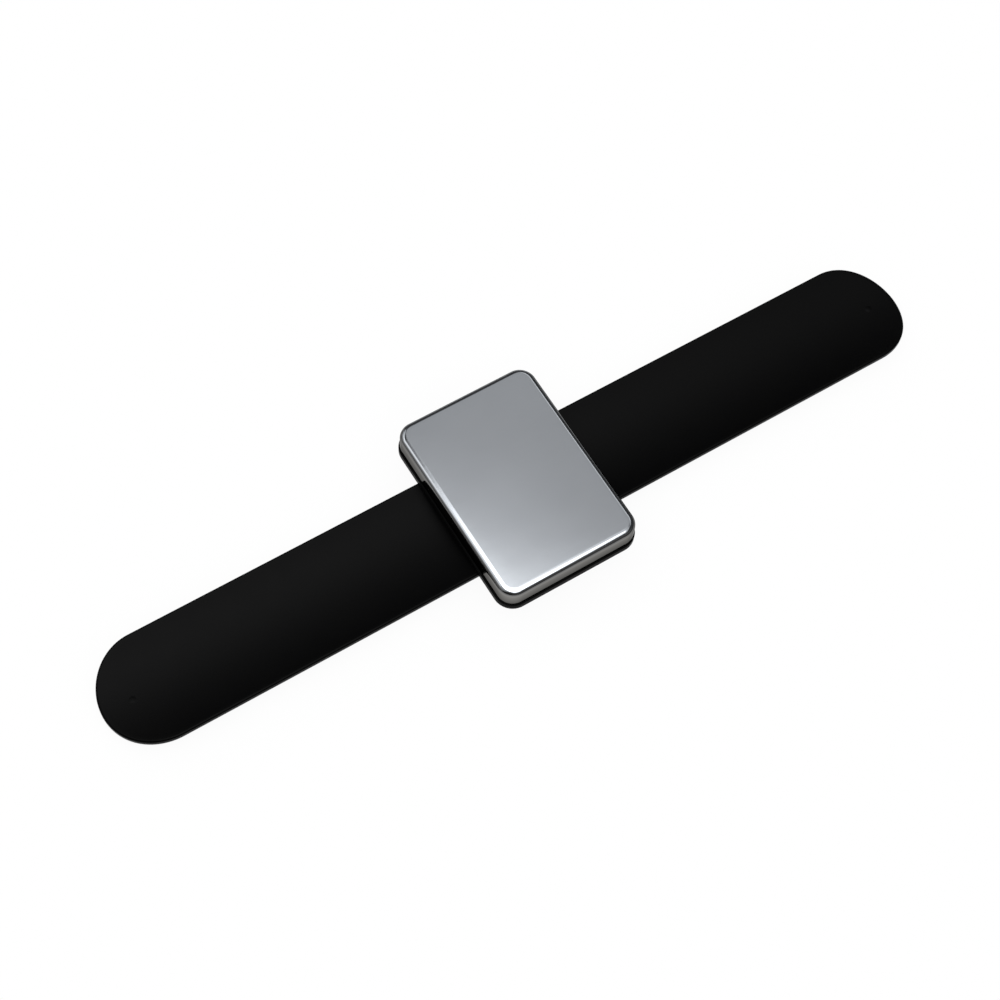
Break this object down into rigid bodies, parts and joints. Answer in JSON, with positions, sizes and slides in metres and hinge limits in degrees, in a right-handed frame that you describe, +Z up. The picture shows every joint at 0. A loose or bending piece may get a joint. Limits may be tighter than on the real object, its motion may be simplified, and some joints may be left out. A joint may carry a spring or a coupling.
{
  "type": "magnetic hair clip wristband",
  "caption": "Slap wristband of black silicone over spring steel, with a steel-capped magnet plate that holds hair clips and pins; both arms curl round the wrist.",
  "frame": {"origin": "bottom centre of the straight band; the middle of the plate is at x = -2.2 mm", "axes": "+X along the band, +Y across it, +Z up out of the plate's steel face"},
  "size_m": [0.239, 0.0564, 0.0126],
  "materials": {
    "silicone": "matte black moulded silicone, very fine grain",
    "base_plastic": "glossy black moulded plastic",
    "lid_steel": "mirror-polished drawn sheet steel",
    "spring_steel": "plain rolled spring steel",
    "rivet_steel": "satin plated steel",
    "ferrite": "dull sintered ferrite",
    "foam_tape": "soft off-white foam tape"
  },
  "bodies": {
    "plate": {"base_tray": "base_plastic", "steel_lid": "lid_steel", "lid_pad": "foam_tape", "magnet_1": "ferrite", "magnet_2": "ferrite", "magnet_3": "ferrite", "magnet_4": "ferrite", "magnet_5": "ferrite", "magnet_6": "ferrite", "rivet_1": "rivet_steel", "rivet_2": "rivet_steel", "sleeve_middle": "silicone", "spring_middle": "spring_steel"},
    "right_1": {"sleeve_right_1": "silicone", "spring_right_1": "spring_steel"},
    "right_2": {"sleeve_right_2": "silicone", "spring_right_2": "spring_steel"},
    "right_3": {"sleeve_right_3": "silicone", "spring_right_3": "spring_steel"},
    "right_4": {"sleeve_right_4": "silicone", "spring_right_4": "spring_steel"},
    "right_5": {"sleeve_right_5": "silicone", "spring_right_5": "spring_steel"},
    "right_6": {"sleeve_right_6": "silicone", "spring_right_6": "spring_steel"},
    "right_7": {"sleeve_right_7": "silicone", "spring_right_7": "spring_steel"},
    "right_8": {"sleeve_right_8": "silicone", "spring_right_8": "spring_steel"},
    "right_9": {"sleeve_right_9": "silicone", "spring_right_9": "spring_steel"},
    "left_1": {"sleeve_left_1": "silicone", "spring_left_1": "spring_steel"},
    "left_2": {"sleeve_left_2": "silicone", "spring_left_2": "spring_steel"},
    "left_3": {"sleeve_left_3": "silicone", "spring_left_3": "spring_steel"},
    "left_4": {"sleeve_left_4": "silicone", "spring_left_4": "spring_steel"},
    "left_5": {"sleeve_left_5": "silicone", "spring_left_5": "spring_steel"},
    "left_6": {"sleeve_left_6": "silicone", "spring_left_6": "spring_steel"},
    "left_7": {"sleeve_left_7": "silicone", "spring_left_7": "spring_steel"},
    "left_8": {"sleeve_left_8": "silicone", "spring_left_8": "spring_steel"},
    "left_9": {"sleeve_left_9": "silicone", "spring_left_9": "spring_steel"}
  },
  "joints": [
    {"name": "right_curl", "type": "hinge", "parent": "plate", "child": "right_1", "pos_m": [0.0138, 0, 0], "axis": [0, 1, 0], "range_deg": [0, 28]},
    {"name": "right_curl_2", "type": "hinge", "parent": "right_1", "child": "right_2", "pos_m": [0.0246, 0, 0], "axis": [0, 1, 0], "range_deg": [0, 28]},
    {"name": "right_curl_3", "type": "hinge", "parent": "right_2", "child": "right_3", "pos_m": [0.0354, 0, 0], "axis": [0, 1, 0], "range_deg": [0, 28]},
    {"name": "right_curl_4", "type": "hinge", "parent": "right_3", "child": "right_4", "pos_m": [0.0462, 0, 0], "axis": [0, 1, 0], "range_deg": [0, 28]},
    {"name": "right_curl_5", "type": "hinge", "parent": "right_4", "child": "right_5", "pos_m": [0.057, 0, 0], "axis": [0, 1, 0], "range_deg": [0, 28]},
    {"name": "right_curl_6", "type": "hinge", "parent": "right_5", "child": "right_6", "pos_m": [0.0678, 0, 0], "axis": [0, 1, 0], "range_deg": [0, 28]},
    {"name": "right_curl_7", "type": "hinge", "parent": "right_6", "child": "right_7", "pos_m": [0.0786, 0, 0], "axis": [0, 1, 0], "range_deg": [0, 7]},
    {"name": "right_curl_8", "type": "hinge", "parent": "right_7", "child": "right_8", "pos_m": [0.0894, 0, 0], "axis": [0, 1, 0], "range_deg": [0, 7]},
    {"name": "right_curl_9", "type": "hinge", "parent": "right_8", "child": "right_9", "pos_m": [0.1002, 0, 0], "axis": [0, 1, 0], "range_deg": [0, 7]},
    {"name": "left_curl", "type": "hinge", "parent": "plate", "child": "left_1", "pos_m": [-0.0182, 0, 0], "axis": [0, -1, 0], "range_deg": [0, 22]},
    {"name": "left_curl_2", "type": "hinge", "parent": "left_1", "child": "left_2", "pos_m": [-0.029, 0, 0], "axis": [0, -1, 0], "range_deg": [0, 22]},
    {"name": "left_curl_3", "type": "hinge", "parent": "left_2", "child": "left_3", "pos_m": [-0.0398, 0, 0], "axis": [0, -1, 0], "range_deg": [0, 22]},
    {"name": "left_curl_4", "type": "hinge", "parent": "left_3", "child": "left_4", "pos_m": [-0.0506, 0, 0], "axis": [0, -1, 0], "range_deg": [0, 22]},
    {"name": "left_curl_5", "type": "hinge", "parent": "left_4", "child": "left_5", "pos_m": [-0.0614, 0, 0], "axis": [0, -1, 0], "range_deg": [0, 22]},
    {"name": "left_curl_6", "type": "hinge", "parent": "left_5", "child": "left_6", "pos_m": [-0.0722, 0, 0], "axis": [0, -1, 0], "range_deg": [0, 22]},
    {"name": "left_curl_7", "type": "hinge", "parent": "left_6", "child": "left_7", "pos_m": [-0.083, 0, 0], "axis": [0, -1, 0], "range_deg": [0, 22]},
    {"name": "left_curl_8", "type": "hinge", "parent": "left_7", "child": "left_8", "pos_m": [-0.0938, 0, 0], "axis": [0, -1, 0], "range_deg": [0, 11]},
    {"name": "left_curl_9", "type": "hinge", "parent": "left_8", "child": "left_9", "pos_m": [-0.1046, 0, 0], "axis": [0, -1, 0], "range_deg": [0, 11]}
  ],
  "couplings": [
    {"joint": "right_curl_2", "follows": "right_curl", "ratio": 1},
    {"joint": "right_curl_3", "follows": "right_curl", "ratio": 1},
    {"joint": "right_curl_4", "follows": "right_curl", "ratio": 1},
    {"joint": "right_curl_5", "follows": "right_curl", "ratio": 1},
    {"joint": "right_curl_6", "follows": "right_curl", "ratio": 1},
    {"joint": "right_curl_7", "follows": "right_curl", "ratio": 0.25},
    {"joint": "right_curl_8", "follows": "right_curl", "ratio": 0.25},
    {"joint": "right_curl_9", "follows": "right_curl", "ratio": 0.25},
    {"joint": "left_curl_2", "follows": "left_curl", "ratio": 1},
    {"joint": "left_curl_3", "follows": "left_curl", "ratio": 1},
    {"joint": "left_curl_4", "follows": "left_curl", "ratio": 1},
    {"joint": "left_curl_5", "follows": "left_curl", "ratio": 1},
    {"joint": "left_curl_6", "follows": "left_curl", "ratio": 1},
    {"joint": "left_curl_7", "follows": "left_curl", "ratio": 1},
    {"joint": "left_curl_8", "follows": "left_curl", "ratio": 0.5},
    {"joint": "left_curl_9", "follows": "left_curl", "ratio": 0.5}
  ]
}
